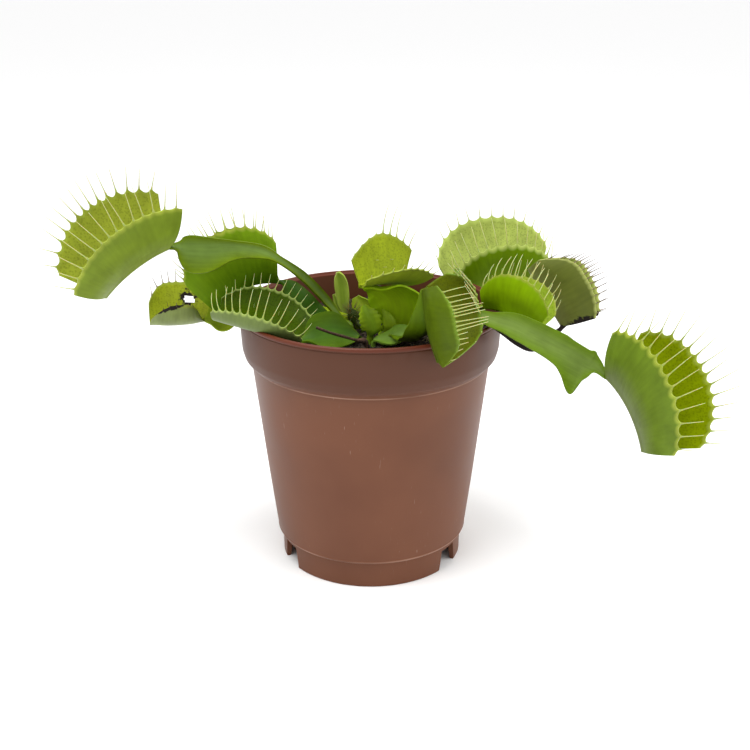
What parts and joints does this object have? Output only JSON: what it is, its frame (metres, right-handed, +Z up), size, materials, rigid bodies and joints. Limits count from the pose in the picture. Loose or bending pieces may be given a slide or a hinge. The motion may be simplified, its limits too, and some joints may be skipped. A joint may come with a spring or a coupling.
{
  "type": "potted venus flytrap",
  "caption": "Potted Venus flytrap: winged leaves that end in hinged, spined traps, rising from potting mix in a small tapered plastic nursery pot.",
  "frame": {"origin": "centre of the pot's base, on the pot's axis, at the height of the foot ring's underside", "axes": "+Z up along the pot's axis; +X to the right along the plant's widest spread; -Y to the front, the side that the picture shows"},
  "size_m": [0.1943, 0.1176, 0.1254],
  "materials": {
    "pot_plastic": "moulded terracotta-coloured plastic, slightly worn",
    "soil": "dark peat mix",
    "leaf_fresh": "living leaf, soft sheen",
    "leaf_deep": "living leaf, deeper green",
    "leaf_pale": "young pale leaf",
    "leaf_dark": "young hairy trap, dark green",
    "leaf_dying": "yellowed leaf, browned margin",
    "leaf_withered": "withered grey-green leaf",
    "dead": "dry dead stem"
  },
  "bodies": {
    "root": {"pot": "pot_plastic", "soil": "soil", "leaf_far_left": "leaf_fresh", "leaf_left_back": "leaf_fresh", "leaf_front_left": "leaf_fresh", "leaf_dying_left": "leaf_dying", "leaf_centre": "leaf_fresh", "leaf_front_right": "leaf_deep", "leaf_back_right": "leaf_fresh", "leaf_right_small": "leaf_fresh", "leaf_far_right": "leaf_fresh", "leaf_withered_right": "leaf_withered", "young_leaf_spoon": "leaf_pale", "young_leaf_sprig": "leaf_deep", "young_leaf_pale": "leaf_pale", "young_leaf_front": "leaf_fresh", "young_trap_dark": "leaf_dark", "young_trap_bud": "leaf_pale", "dead_stem": "dead"}
  },
  "joints": []
}
